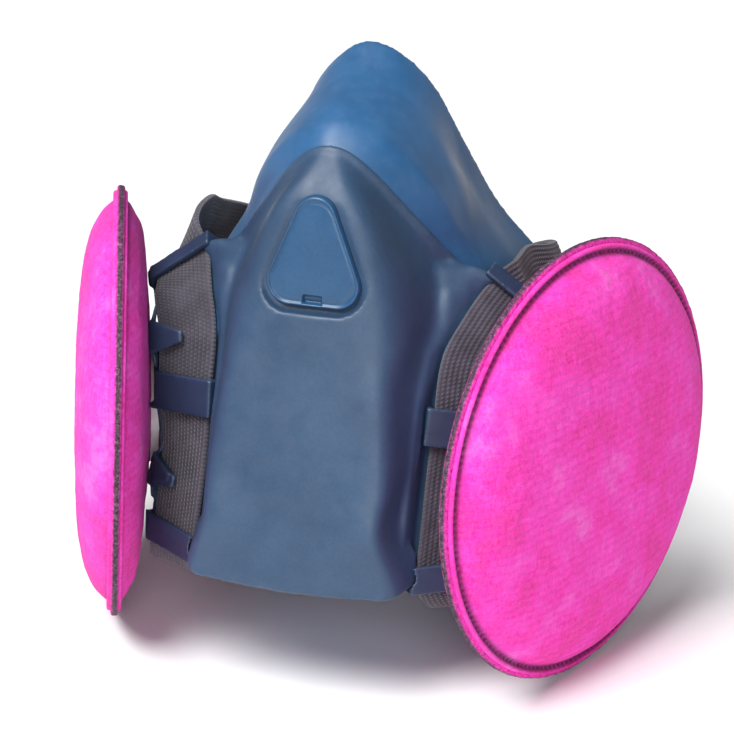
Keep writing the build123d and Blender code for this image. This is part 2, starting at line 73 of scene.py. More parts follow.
# Skin profiles of the two felts: (radius, height above the rim plane).
OUTER_SKIN = [
    (0, 10.45), (8, 10.4), (16, 10.2), (24, 9.85), (31, 9.3), (37, 8.45), (41, 7.4), (44, 6.1),
    (46.6, 4.6), (48.2, 3.1), (49.1, 2.0), (49.7, 1.35), (50.1, 1.15), (50.4, 1.3), (50.7, 1.7),
    (51.1, 1.95), (51.5, 1.8), (51.7, 1.3), (51.8, 0.8),
]
INNER_SKIN = [
    (15.1, 8.0), (20, 7.5), (26, 7.0), (32, 6.5), (37, 6.1), (41, 5.5), (44, 4.7), (46.2, 3.6),
    (48.2, 2.5), (49.1, 1.7), (49.7, 1.15), (50.1, 1.0), (50.4, 1.15), (50.7, 1.5), (51.1, 1.65),
    (51.5, 1.5), (51.7, 1.1), (51.8, 0.75),
]
FELT = 3.0
FELT_RINGS = 110
FELT_BACK_RINGS = 40
# Lumps in the felt: (height, width). They fade out towards the rim from LUMP_FADE on.
FELT_LUMPS = [(0.30, 9.0), (0.14, 2.6), (0.06, 1.1)]
LUMP_FADE = 46.4
LUMP_END = 49.4
STITCHES = 180
GROOVE_RADIUS = 50.1
GROOVE_WIDTH = 0.5
GROOVE_DEPTH = 0.45
# Width of the painted shade that darkens the stitched groove, in millimetres.
GROOVE_SHADE_WIDTH = 0.75
RIM_HALF = 0.95
# Turns the noise of each kind of filter piece apart.
OUTER_SEED, RIM_SEED, INNER_SEED = 2, 3, 5

BADGE_CENTRE = (-21.7, 52.6)
BADGE_TILT = 8.0
BADGE_WIDTH = 22.5
BADGE_HEIGHT = 26.0
BADGE_CORNER = 5.5
BADGE_POINT = 5.0
BADGE_DEPTH = 1.4

STRAP_WIDTH = 16.5
STRAP_THICK = 1.6
# Inner and outer edge of the right strap, from the upper guide down the front to the neck buckle.
NECK_RAILS = [
    ((35.2, 4.6, 41.4), (48.4, 5.4, 31.6)),
    ((31.2, -4.5, 35.0), (46.6, -2.6, 28.9)),
    ((27.8, -11.6, 26.0), (43.2, -8.3, 22.0)),
    ((27.4, -17.0, 11.5), (42.4, -11.0, 9.5)),
    ((27.0, -20.4, 1.0), (41.2, -12.4, 0.0)),
    ((27.0, -24.5, -9.5), (40.8, -15.4, -9.5)),
    ((27.2, -29.5, -22.0), (41.0, -20.4, -22.0)),
    ((28.0, -28.6, -27.0), (42.2, -20.2, -27.0)),
    ((28.6, -22.5, -31.8), (43.8, -16.0, -31.8)),
    ((28.6, -10.0, -35.5), (44.8, -6.0, -35.5)),
    ((27.6, 10.0, -41.0), (44.1, 11.0, -41.0)),
    ((24.0, 35.0, -47.5), (40.4, 36.5, -47.5)),
    ((17.0, 56.0, -51.2), (32.2, 62.5, -51.2)),
    ((10.0, 73.0, -51.4), (26.0, 77.0, -51.4)),
    ((8.5, 86.0, -51.4), (25.0, 86.0, -51.4)),
    ((8.5, 116.0, -51.4), (25.0, 116.0, -51.4)),
]
# The same strap from the guide back and down to the cradle.
HEAD_RAILS = [
    ((35.2, 4.6, 41.4), (48.4, 5.4, 31.6)),
    ((39.6, 9.0, 45.6), (47.6, 9.4, 31.2)),
    ((41.2, 15.0, 47.6), (46.6, 15.0, 32.0)),
    ((41.4, 24.0, 47.6), (46.9, 24.0, 32.0)),
    ((42.6, 34.0, 43.4), (49.2, 36.0, 28.4)),
    ((41.0, 46.0, 38.4), (47.0, 48.0, 23.4)),
    ((35.5, 55.0, 33.6), (42.0, 58.5, 19.0)),
    ((28.0, 63.2, 26.5), (38.2, 66.9, 17.0)),
    ((22.7, 69.5, 14.3), (39.1, 69.5, 14.1)),
    ((22.6, 69.5, 8.0), (39.1, 69.5, 8.0)),
    ((22.6, 69.5, -13.5), (39.1, 69.5, -13.5)),
]
# How far in and how far down the right strap hangs behind its guide, by station.
RIGHT_SAG = [(0, 0), (1.2, 1.6), (2.8, 4.0), (3.0, 4.4), (2.0, 3.0), (1.0, 1.4)]
# Stations on the strap, counted from the guide.
GUIDE, UPPER_HOOK, MIDDLE_BAR, LOWER_HOOK, BRACKET = 0, 2, 3, 5, 6
RIBS = 14
RIB_SHARE = 0.16
STRAP_STEP = 0.8
EDGE_ROUNDING = 0.8
SELVEDGE = 1.5
LOOP_PITCH = 0.95

# The seal is fuller beside the nose and narrower at its rim and peak. Outward moves are positive.
CHEEK_PUSH = 4.3
CHEEK_HEIGHT = 63.0
CHEEK_SPREAD = 14.0
TUCK_PUSH = -1.8
RIM_PUSH = -2.2
RIM_HEIGHT = 47.0
RIM_SPREAD = 9.0
PEAK_PUSH = -1.7
# The cover's back edge, from under the guide up to the middle of its top.
COVER_EDGE = [
    (27.3, 3.2, 44.6), (21.4, -1.2, 52.0), (15.3, -4.7, 60.0), (11.6, -6.9, 65.0),
    (7.2, -8.9, 70.0), (3.0, -9.5, 72.8), (0.0, -9.7, 73.4),
]
COVER_BEAD = 1.0
SHOULDER_ROUNDS = 40
# The cover's wing, from the saddle down along the strap: (x, y, z) on its inner and outer edges.
WING_INNER = [
    (24.8, 1.2, 43.4), (26.6, -4.4, 36.0), (24.7, -13.4, 27.0), (24.0, -19.6, 17.0),
    (24.0, -26.4, 0.0), (24.0, -30.4, -12.0), (23.8, -34.0, -22.0),
]
WING_OUTER = [
    (33.2, 3.8, 41.2), (29.6, -3.4, 35.0), (26.2, -10.8, 26.2), (25.0, -16.0, 14.0),
    (24.6, -20.6, 1.0), (24.6, -24.6, -10.0), (24.8, -29.4, -22.0),
]
WING_EDGE = 1.0
# The saddle that joins each wing to the strap's upper guide, and the fins and webs round it. Each
# is a lump through balls of (x, y, z, radius).
SADDLE = [
    [(27.5, 2.6, 43.6, 1.2), (31.5, 2.2, 43.6, 1.3), (36.4, 3.6, 41.6, 1.3),
     (30.0, 1.6, 38.8, 1.1)],
    [(30.6, 0.8, 36.0, 0.7), (30.0, 1.6, 40.0, 1.1), (33.6, 2.0, 40.0, 1.0)],
    [(24.2, -1.6, 44.2, 1.0), (27.0, 2.0, 43.8, 1.0), (32.0, 2.4, 43.0, 1.0),
     (31.6, 1.2, 37.6, 0.9), (29.0, -2.8, 35.6, 1.0), (26.2, -5.0, 37.0, 1.0)],
    [(26.6, -4.6, 39.0, 1.2), (30.4, -1.6, 37.4, 1.2), (29.4, -3.6, 33.0, 1.2),
     (26.8, -8.4, 31.0, 1.2), (31.6, 1.8, 40.0, 1.2)],
]

# Voxel size in millimetres, and rounds of smoothing, for each kind of moulded piece.
SEAL_SKIN = (0.55, 18)
COVER_SKIN = (0.55, 9)
CRADLE_SKIN = (0.6, 5)
FRAME_SKIN = (0.4, 4)
BUCKLE_SKIN = (0.3, 4)
SOFTEN = 0.5

# ---- small tools -------------------------------------------------------------------------------


def linear(red, green, blue):
    """A linear colour from the usual 0-255 values."""
    out = []
    for value in (red, green, blue):
        value /= 255.0
        out.append(value / 12.92 if value <= 0.04045 else ((value + 0.055) / 1.055) ** 2.4)
    return (*out, 1.0)


def new_object(name, points, faces):
    mesh = bpy.data.meshes.new(name)
    mesh.from_pydata([tuple(p) for p in points], [], faces)
    mesh.validate()
    mesh.shade_smooth()
    obj = bpy.data.objects.new(name, mesh)
    bpy.context.scene.collection.objects.link(obj)
    return obj


def applied(obj):
    """Bakes the object's modifiers into its mesh."""
    bpy.context.view_layer.update()
    graph = bpy.context.evaluated_depsgraph_get()
    mesh = bpy.data.meshes.new_from_object(obj.evaluated_get(graph))
    obj.modifiers.clear()
    old = obj.data
    obj.data = mesh
    bpy.data.meshes.remove(old)
    obj.data.shade_smooth()
    return obj


def smooth_curve(points, count):
    """Points evenly spaced along a Catmull-Rom curve through the given ones."""
    pts = np.array(points, float)
    ext = np.vstack([2 * pts[0] - pts[1], pts, 2 * pts[-1] - pts[-2]])
    fine = []
    for i in range(len(pts) - 1):
        p0, p1, p2, p3 = ext[i:i + 4]
        for t in np.linspace(0, 1, 24, endpoint=False):
            fine.append(0.5 * (2 * p1 + (p2 - p0) * t + (2 * p0 - 5 * p1 + 4 * p2 - p3) * t ** 2
                               + (3 * p1 - p0 - 3 * p2 + p3) * t ** 3))
    fine.append(pts[-1])
    fine = np.array(fine)
    run = np.concatenate([[0], np.cumsum(np.linalg.norm(np.diff(fine, axis=0), axis=1))])
    at = np.linspace(0, run[-1], count)
    return np.stack([np.interp(at, run, fine[:, k]) for k in range(fine.shape[1])], axis=1)


def side_matrix(side):
    """A filter's frame: its rim plane, Z outwards, in metres."""
    yaw, pitch = math.radians(FILTER_YAW), math.radians(FILTER_PITCH)
    normal = Vector((side * math.cos(pitch) * math.cos(yaw),
                     -math.cos(pitch) * math.sin(yaw), math.sin(pitch)))
    along = Vector((side * math.sin(yaw), math.cos(yaw), 0))
    up = normal.cross(along)
    rows = Matrix((along, up, normal)).transposed().to_4x4()
    return Matrix.Translation((side * FILTER_X * MM, 0, 0)) @ rows


def float_attribute(obj, name, values):
    attribute = obj.data.attributes.new(name, "FLOAT", "POINT")
    attribute.data.foreach_set("value", np.asarray(values, np.float32))


def vector_attribute(obj, name, values):
    attribute = obj.data.attributes.new(name, "FLOAT_VECTOR", "POINT")
    attribute.data.foreach_set("vector", np.asarray(values, np.float32).ravel())


# ---- materials ---------------------------------------------------------------------------------


class Shader:
    """A material under construction, with short calls for its nodes."""

    def __init__(self, name, roughness, **sockets):
        self.material = bpy.data.materials.new(name)
        self.material.use_nodes = True
        self.tree = self.material.node_tree
        self.bsdf = self.tree.nodes["Principled BSDF"]
        self.bsdf.inputs["Roughness"].default_value = roughness
        for socket, value in sockets.items():
            self.bsdf.inputs[socket.replace("_", " ")].default_value = value
        self.coords = self.tree.nodes.new("ShaderNodeTexCoord").outputs["Object"]

    def link(self, out, into):
        self.tree.links.new(out, into)
        return out

    def node(self, kind, inputs=None, **props):
        made = self.tree.nodes.new(kind)
        for key, value in props.items():
            setattr(made, key, value)
        for key, value in (inputs or {}).items():
            if isinstance(value, bpy.types.NodeSocket):
                self.link(value, made.inputs[key])
            else:
                made.inputs[key].default_value = value
        return made

    def attribute(self, name, output="Fac"):
        return self.node("ShaderNodeAttribute", attribute_name=name).outputs[output]

    def noise(self, size, detail=3.0, roughness=0.55, coords=None, distortion=0.0):
        """Noise whose blotches are about size millimetres wide."""
        return self.node("ShaderNodeTexNoise", {
            "Vector": coords or self.coords, "Scale": 1.0 / (size * MM), "Detail": detail,
            "Roughness": roughness, "Distortion": distortion}).outputs["Fac"]

    def stretched(self, factors, coords=None):
        """The coordinates scaled on each axis."""
        return self.node("ShaderNodeMapping", {
            "Vector": coords or self.coords, "Scale": factors}).outputs["Vector"]

    def ramp(self, fac, stops, smooth=True):
        made = self.node("ShaderNodeValToRGB", {"Fac": fac})
        made.color_ramp.interpolation = "EASE" if smooth else "LINEAR"
        elements = made.color_ramp.elements
        while len(elements) < len(stops):
            elements.new(0.5)
        for element, (position, colour) in zip(elements, stops):
            element.position = position
            element.color = colour if hasattr(colour, "__len__") else (colour, colour, colour, 1)
        return made.outputs["Color"]

    def mix(self, fac, a, b, blend="MIX"):
        made = self.node("ShaderNodeMix", data_type="RGBA", blend_type=blend)
        for key, value in ((0, fac), (6, a), (7, b)):
            if isinstance(value, bpy.types.NodeSocket):
                self.link(value, made.inputs[key])
            else:
                made.inputs[key].default_value = value
        return made.outputs[2]

    def math(self, operation, a, b=0.0, clamp=False):
        made = self.node("ShaderNodeMath", operation=operation, use_clamp=clamp)
        for key, value in ((0, a), (1, b)):
            if isinstance(value, bpy.types.NodeSocket):
                self.link(value, made.inputs[key])
            else:
                made.inputs[key].default_value = value
        return made.outputs["Value"]

    def bump(self, height, distance, strength=1.0, after=None):
        """Adds relief: distance is in millimetres."""
        inputs = {"Height": height, "Distance": distance * MM, "Strength": strength}
        if after is not None:
            inputs["Normal"] = after
        return self.node("ShaderNodeBump", inputs).outputs["Normal"]

    def finish(self, colour, normal=None, roughness=None):
        self.link(colour, self.bsdf.inputs["Base Color"])
        if normal is not None:
            self.link(normal, self.bsdf.inputs["Normal"])
        if roughness is not None:
            self.link(roughness, self.bsdf.inputs["Roughness"])
        return self.material


def moulded_plastic(name, dark, light, worn, rough=(0.42, 0.56),
                    grain=0.35, relief=0.03, coat=0.0):
    """Moulded plastic: a faint cloudy tone, a fine matte grain, and edges rubbed a little paler."""
    s = Shader(name, rough[0], Coat_Weight=coat, Coat_Roughness=0.3)
    cloud = s.noise(14.0, 4.0)
    tone = s.ramp(cloud, [(0.3, linear(*dark)), (0.7, linear(*light))])
    speck = s.ramp(s.noise(0.7, 2.0), [(0.35, 0.90), (0.65, 1.0)])
    tone = s.mix(1.0, tone, speck, "MULTIPLY")
    edge = s.node("ShaderNodeNewGeometry").outputs["Pointiness"]
    edge = s.ramp(edge, [(0.515, 0.0), (0.58, 1.0)])
    scuff = s.math("MULTIPLY", edge, s.ramp(s.noise(2.2, 4.0), [(0.35, 0.25), (0.65, 0.8)]))
    tone = s.mix(scuff, tone, linear(*worn))
    fine = s.bump(s.noise(grain, 2.0), relief, 0.5)
    wave = s.bump(s.noise(9.0, 2.0), 0.06, 0.35, fine)
    gloss = s.ramp(s.noise(5.0, 5.0), [(0.3, rough[0]), (0.7, rough[1])])
    return s.finish(tone, wave, gloss)


def silicone(name, dark, light):
    """Satin silicone rubber: slight depth, a faint bloom, and a very fine texture."""
    s = Shader(name, 0.46, Subsurface_Weight=0.12, Subsurface_Scale=0.002, Sheen_Weight=0.12,
               Sheen_Roughness=0.5)
    s.bsdf.inputs["Subsurface Radius"].default_value = (0.5, 0.8, 1.0)
    cloud = s.noise(22.0, 4.0, 0.6)
    tone = s.ramp(cloud, [(0.3, linear(*dark)), (0.72, linear(*light))])
    bloom = s.ramp(s.noise(3.0, 6.0, 0.7), [(0.45, 0.0), (0.8, 0.16)])
    tone = s.mix(bloom, tone, linear(80, 122, 160))
    fine = s.bump(s.noise(0.5, 2.0), 0.025, 0.4)
    soft = s.bump(s.noise(16.0, 2.0), 0.12, 0.35, fine)
    gloss = s.ramp(s.noise(6.0, 5.0), [(0.3, 0.40), (0.7, 0.54)])
    return s.finish(tone, soft, gloss)


def felt(name):
    """Needled felt dyed pink: mottled, fibrous, with faint rows, and painted shade darkening its
    stitched groove.
    """
    s = Shader(name, 0.95, Sheen_Weight=0.10, Sheen_Roughness=0.6)
    s.bsdf.inputs["Sheen Tint"].default_value = linear(255, 150, 220)
    flat = s.attribute("felt_place", "Vector")
    blotch = s.noise(16.0, 6.0, 0.66, flat)
    tone = s.ramp(blotch, [(0.40, linear(240, 0, 154)), (0.47, linear(252, 10, 178)),
                           (0.54, linear(254, 46, 197)), (0.69, linear(255, 112, 218))])
    hair = s.noise(0.9, 4.0, 0.75, s.stretched((1.0, 0.35, 1.0), flat), 1.2)
    tone = s.mix(0.30, tone, s.ramp(hair, [(0.3, linear(220, 4, 140)),
                                           (0.7, linear(255, 120, 220))]))
    thread = s.noise(0.55, 3.0, 0.8, s.stretched((0.22, 1.6, 1.0), flat), 0.6)
    tone = s.mix(0.20, tone, s.ramp(thread, [(0.35, linear(226, 4, 150)),
                                             (0.65, linear(255, 110, 214))]))
    rows = s.node("ShaderNodeTexWave", {
        "Vector": flat, "Scale": 150.0, "Distortion": 3.5, "Detail": 3.0, "Detail Scale": 2.2,
    }, bands_direction="Y").outputs["Fac"]
    rows = s.ramp(rows, [(0.1, 0.92), (0.6, 1.0)])
    tone = s.mix(1.0, tone, rows, "MULTIPLY")
    fleck = s.ramp(s.noise(1.4, 5.0, 0.8, flat, 0.8), [(0.66, 0.0), (0.74, 0.55)])
    tone = s.mix(fleck, tone, linear(176, 20, 112))
    # Painted shade: the stitched groove is darkened towards a near-black magenta, broken up a
    # little by noise.
    painted_groove_shade = s.math("MULTIPLY", s.attribute("felt_groove_shade"),
                  s.ramp(s.noise(0.8, 3.0, 0.7, flat), [(0.3, 0.75), (0.6, 1.0)]))
    tone = s.mix(painted_groove_shade, tone, linear(44, 8, 40))
    fuzz = s.bump(s.noise(0.6, 5.0, 0.8, flat, 1.0), 0.30, 0.75)
    lumps = s.bump(s.noise(4.0, 4.0, 0.6, flat), 0.55, 0.5, fuzz)
    weave = s.bump(rows, 0.08, 0.5, lumps)
    return s.finish(tone, weave)


def weld_band(name):
    """The fused, speckled rim of the filter, with more of the felt's pink on its two faces."""
    s = Shader(name, 0.8)
    speck = s.noise(0.9, 5.0, 0.8)
    tone = s.ramp(speck, [(0.38, linear(30, 20, 32)), (0.5, linear(72, 52, 70)),
                          (0.62, linear(128, 84, 118)), (0.72, linear(206, 70, 158))])
    dust = s.ramp(s.noise(0.45, 2.0), [(0.4, 0.7), (0.6, 1.0)])
    tone = s.mix(1.0, tone, dust, "MULTIPLY")
    dyed = s.ramp(speck, [(0.34, linear(120, 20, 84)), (0.46, linear(222, 34, 160)),
                          (0.62, linear(252, 70, 196))])
    tone = s.mix(s.attribute("rim_face"), tone, dyed)
    return s.finish(tone, s.bump(speck, 0.3, 0.8))


def webbing(name):
    """Woven elastic: lengthwise ribs of small loops, with painted shade in their grooves, a painted
    highlight on their crests, and paler selvedges.
    """
    s = Shader(name, 0.9, Sheen_Weight=0.2, Sheen_Roughness=0.5)
    place = s.attribute("web_place", "Vector")
    split = s.node("ShaderNodeSeparateXYZ", {"Vector": place})
    across, along = split.outputs["X"], split.outputs["Y"]
    pitch = STRAP_WIDTH / RIBS * MM
    rib = s.math("SINE", s.math("MULTIPLY", across, 2 * math.pi / pitch))
    turn = s.math("MULTIPLY", across, math.pi / pitch)
    step = s.math("MULTIPLY", along, 2 * math.pi / (LOOP_PITCH * MM))
    loop = s.math("MULTIPLY", s.math("SINE", s.math("ADD", step, turn)),
                  s.math("ADD", s.math("MULTIPLY", rib, 0.5), 0.5))
    height = s.math("ADD", s.math("MULTIPLY", rib, 0.5), s.math("MULTIPLY", loop, 0.6))
    wear = s.noise(6.0, 4.0, 0.6)
    tone = s.ramp(wear, [(0.3, linear(54, 51, 62)), (0.7, linear(72, 69, 81))])
    # Painted shade in the grooves between ribs and loops, and a painted highlight on their crests,
    # both taken from the relief height.
    shade = s.ramp(s.math("ADD", s.math("MULTIPLY", height, 0.42), 0.5),
                   [(0.12, 0.46), (0.55, 0.94), (0.9, 1.12)])
    tone = s.mix(1.0, tone, shade, "MULTIPLY")
    selvedge = s.math("MULTIPLY", s.attribute("web_edge"), 0.35)
    tone = s.mix(selvedge, tone, linear(100, 97, 109))
    fluff = s.ramp(s.noise(0.5, 4.0, 0.8), [(0.35, 0.86), (0.7, 1.06)])
    tone = s.mix(1.0, tone, fluff, "MULTIPLY")
    relief = s.bump(height, 0.22, 0.85)
    return s.finish(tone, s.bump(s.noise(0.3, 3.0), 0.06, 0.6, relief))


def rubber(name, colour):
    """Thin moulded rubber, for the valve flaps and gaskets."""
    s = Shader(name, 0.5, Sheen_Weight=0.1)
    dark = [c * 0.86 for c in colour]
    tone = s.ramp(s.noise(4.0, 4.0), [(0.3, linear(*dark)), (0.7, linear(*colour))])
    gloss = s.ramp(s.noise(3.0), [(0.3, 0.44), (0.7, 0.6)])
    return s.finish(tone, s.bump(s.noise(0.3, 2.0), 0.02, 0.5), gloss)


def fibre_media(name):
    """The pale fibrous mat inside a filter."""
    s = Shader(name, 0.95)
    tone = s.ramp(s.noise(1.2, 5.0, 0.8, distortion=1.0),
                  [(0.3, linear(196, 190, 196)), (0.7, linear(236, 232, 236))])
    return s.finish(tone, s.bump(s.noise(0.8, 5.0, 0.8), 0.3, 0.7))


MATERIALS = {
    "cover_plastic": moulded_plastic("cover_plastic", (42, 66, 93), (48, 73, 101), (66, 93, 121)),
    "badge_plastic": moulded_plastic("badge_plastic", (30, 70, 106), (36, 79, 117), (52, 96, 134),
                                     (0.3, 0.42), grain=0.5, relief=0.02, coat=0.15),
    "silicone": silicone("silicone", (26, 75, 117), (34, 88, 134)),
    "frame_plastic": moulded_plastic("frame_plastic", (32, 46, 70), (40, 57, 83), (70, 90, 118),
                                     (0.38, 0.5)),
    "port_plastic": moulded_plastic("port_plastic", (36, 46, 66), (46, 58, 80), (74, 88, 110),
                                    (0.38, 0.5)),
    "valve_rubber": rubber("valve_rubber", (226, 206, 128)),
    "gasket_rubber": rubber("gasket_rubber", (40, 44, 52)),
    "harness_plastic": moulded_plastic("harness_plastic", (40, 50, 70), (52, 62, 84),
                                       (84, 96, 118), (0.4, 0.54)),
    "woven_elastic": webbing("woven_elastic"),
    "filter_felt": felt("filter_felt"),
    "filter_media": fibre_media("filter_media"),
    "filter_weld": weld_band("filter_weld"),
    "filter_collar_plastic": moulded_plastic("filter_collar_plastic", (196, 190, 196),
                                             (216, 210, 214), (232, 228, 230), (0.4, 0.5)),
}


def dress(obj, body, slot, *nodes):
    """Gives a new piece its material, slot and body, and hides the CAD nodes that it stands for."""
    obj.data.materials.clear()
    obj.data.materials.append(MATERIALS[slot])
    if nodes:
        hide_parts(*nodes)
    if body is not None:
        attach(obj, body)
    return obj


# ---- moulded pieces from the CAD solids --------------------------------------------------------


def moulded(name, node, skin, lumps=()):
    """A dense skin round a CAD solid and any lumps added to it, merged, with softened edges."""
    voxel, rounds = skin
    work = bmesh.new()
    work.from_mesh(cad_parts[node].data)
    for lump in lumps:
        work.from_mesh(lump.data)
        bpy.data.objects.remove(lump)
    bmesh.ops.remove_doubles(work, verts=work.verts, dist=1e-7)
    mesh = bpy.data.meshes.new(name)
    work.to_mesh(mesh)
    work.free()
    obj = bpy.data.objects.new(name, mesh)
    bpy.context.scene.collection.objects.link(obj)
    remesh = obj.modifiers.new("skin", "REMESH")
    remesh.mode = "VOXEL"
    remesh.voxel_size = voxel * MM
    remesh.adaptivity = 0.0
    return softened(obj, rounds)


def softened(obj, rounds, group=""):
    """Smooths the object's mesh, or the part of it in a vertex group."""
    soften = obj.modifiers.new("soften", "SMOOTH")
    soften.factor = SOFTEN
    soften.iterations = rounds
    soften.vertex_group = group
    return applied(obj)


def rise(low, high, at):
    """A smooth step from 0 at low to 1 at high."""
    share = np.clip((at - low) / (high - low), 0, 1)
    return share * share * (3 - 2 * share)


def fill_cheeks(obj):
    """Makes the seal fuller beside the nose, and a little narrower at its rim and peak."""
    mesh = obj.data
    points = np.empty(len(mesh.vertices) * 3)
    mesh.vertices.foreach_get("co", points)
    points = points.reshape(-1, 3) / MM
    x, y, z = points.T
    heights, depths = zip(*sorted((p[2], p[1]) for p in COVER_EDGE))
    behind = y - np.interp(z, heights, depths)
    beside_nose = np.exp(-((z - CHEEK_HEIGHT) / CHEEK_SPREAD) ** 2)
    push = CHEEK_PUSH * rise(1.5, 9, behind) * (1 - rise(12, 28, y)) * beside_nose
    under_edge = 1 - rise(-0.5, 2.5, behind)
    push += TUCK_PUSH * under_edge * rise(38, 44, z) * (1 - rise(66, 74, z))
    beside_rim = np.exp(-((z - RIM_HEIGHT) / RIM_SPREAD) ** 2)
    push += RIM_PUSH * rise(20, 36, y) * beside_rim
    push += PEAK_PUSH * rise(20, 30, y) * rise(76, 88, z)
    # Nothing moves on the middle line, so that the two sides stay joined.
    points[:, 0] += np.sign(x) * push * rise(0, 9, np.abs(x))
    mesh.vertices.foreach_set("co", (points * MM).ravel())
    mesh.update()


def smooth_shoulders(obj):
    """Softens the cover where each wing rises to its guide."""
    group = obj.vertex_groups.new(name="shoulder")
    for vertex in obj.data.vertices:
        x, y, z = (c / MM for c in vertex.co)
        weight = float(rise(21, 24, abs(x)) * rise(26, 31, z))
        if weight > 0:
            group.add([vertex.index], weight, "REPLACE")
    return softened(obj, SHOULDER_ROUNDS, group.name)


def hull(points):
    """A convex lump round some points, in millimetres."""
    work = bmesh.new()
    for p in points:
        work.verts.new([c * MM for c in p])
    bmesh.ops.convex_hull(work, input=work.verts)
    mesh = bpy.data.meshes.new("lump")
    work.to_mesh(mesh)
    work.free()
    obj = bpy.data.objects.new("lump", mesh)
    bpy.context.scene.collection.objects.link(obj)
    return obj


def ball_points(centre, radius):
    """Points on a small ball, so that a hull of several is a rounded bar."""
    out = []
    for i in range(5):
        polar = math.pi * i / 4
        for j in range(8):
            turn = math.pi * j / 4
            out.append((centre[0] + radius * math.sin(polar) * math.cos(turn),
                        centre[1] + radius * math.sin(polar) * math.sin(turn),
                        centre[2] + radius * math.cos(polar)))
    return out


def bar(side, *balls):
    """A rounded bar or web through balls of (x, y, z, radius), mirrored for the left side."""
    points = []
    for x, y, z, radius in balls:
        points += ball_points((side * x, y, z), radius)
    return hull(points)


def strap_frame_at(index):
    """The right strap's own axes at a station: middle, across, front and along."""
    low, high = max(index - 1, 0), min(index + 1, len(NECK_RAILS) - 1)
    above, middle, below = (np.mean(NECK_RAILS[i], axis=0) for i in (low, index, high))
    inner, outer = (np.array(p) for p in NECK_RAILS[index])
    across = (outer - inner) / np.linalg.norm(outer - inner)
    along = below - above
    along = along - across * np.dot(along, across)
    along /= np.linalg.norm(along)
    return middle, across, np.cross(along, across), along


def strap_bar(side, *balls):
    """A rounded bar through balls of (station, x, y, z, radius) in the strap's own axes.

    x is counted outwards from the strap's outer edge, y in front of its middle, z down along it.
    """
    placed = []
    for station, x, y, z, radius in balls:
        middle, across, front, along = strap_frame_at(station)
        p = middle + across * (STRAP_WIDTH / 2 + x) + front * y + along * z
        placed.append((*p, radius))
    return bar(side, *placed)


def strap_frame_lumps(side):
    """The hooks, rail, end block and ledge of a strap frame."""
    bars = []
    for hook in (UPPER_HOOK, LOWER_HOOK):
        # The hook's tongue over the strap, its root round the strap's edge, and its two fillets.
        bars.append([(hook, 1.2, 1.9, -3.0, 0.8), (hook, 1.2, 1.9, 3.8, 0.8),
                     (hook, -7.6, 2.1, -0.2, 0.75), (hook, -7.6, 2.1, 1.6, 0.75)])
        bars.append([(hook, 1.5, 1.8, -2.8, 0.8), (hook, 1.5, 1.8, 3.6, 0.8),
                     (hook, 1.8, -2.2, -2.4, 0.8), (hook, 1.8, -2.2, 2.4, 0.8)])
        for way in (-1, 1):
            bars.append([(hook, 1.1, 1.2, 3.0 * way, 0.8), (hook, 1.0, 0.2, 7.2 * way, 0.45)])
    # The rail beside the strap.
    for station in range(UPPER_HOOK, BRACKET):
        bars.append([(station, 2.1, -1.2, 0, 0.8), (station + 1, 2.1, -1.2, 0, 0.8)])
    # The guide's end block, and the arm below it.
    bars.append([(GUIDE, 0.4, 1.9, -1.6, 0.75), (GUIDE, 2.2, 1.2, -1.9, 0.75),
                 (GUIDE, 2.2, 0.6, 1.5, 0.75), (GUIDE, 0.4, 1.4, 1.6, 0.75),
                 (GUIDE, 2.2, -3.0, 0.0, 0.8)])
    bars.append([(GUIDE, 2.0, -1.0, 1.0, 0.9), (GUIDE, 1.9, -1.6, 7.0, 0.8)])
    # The ledge under the middle bar, and the guide's own crossbar.
    bars.append([(MIDDLE_BAR, 0.8, 2.1, 3.9, 0.8), (MIDDLE_BAR, -17.0, 2.1, 3.9, 0.8)])
    bars.append([(GUIDE, -16.9, 1.9, -1.2, 0.9), (GUIDE, -16.9, 1.9, 1.2, 0.9),
                 (GUIDE, 0.6, 1.9, -1.1, 0.8), (GUIDE, 0.6, 1.9, 1.1, 0.8)])
    return [strap_bar(side, *balls) for balls in bars]


def cover_lumps(side):
    """What the cover has beyond its solid: saddle, beaded back edge, and wing up to the strap."""
    lumps = [bar(side, *balls) for balls in SADDLE]
    edge = smooth_curve(COVER_EDGE, 25)
    for a, b in zip(edge, edge[1:]):
        lumps.append(bar(side, (*a, COVER_BEAD), (*b, COVER_BEAD)))
    for low in range(len(WING_INNER) - 1):
        corners = (WING_INNER[low], WING_INNER[low + 1], WING_OUTER[low], WING_OUTER[low + 1])
        lumps.append(bar(side, *((*corner, WING_EDGE) for corner in corners)))
    # A strip behind the strap's inner edge closes the notch that the solid leaves for the strap.
    for station in range(GUIDE, BRACKET):
        lumps.append(strap_bar(side, *((at, x, -2.1, 0, 0.8)
                                       for at in (station, station + 1) for x in (-17.4, -12.5))))
    return lumps


# ---- filters -----------------------------------------------------------------------------------


def ring_faces(a, b, count):
    """Faces between two rings of vertices, either of which may be a single point."""
    faces = []
    for j in range(count):
        j2 = (j + 1) % count
        if len(a) == 1:
            faces.append((a[0], b[j2], b[j]))
        elif len(b) == 1:
            faces.append((a[j], a[j2], b[0]))
        else:
            faces.append((a[j], a[j2], b[j2], b[j]))
    return faces


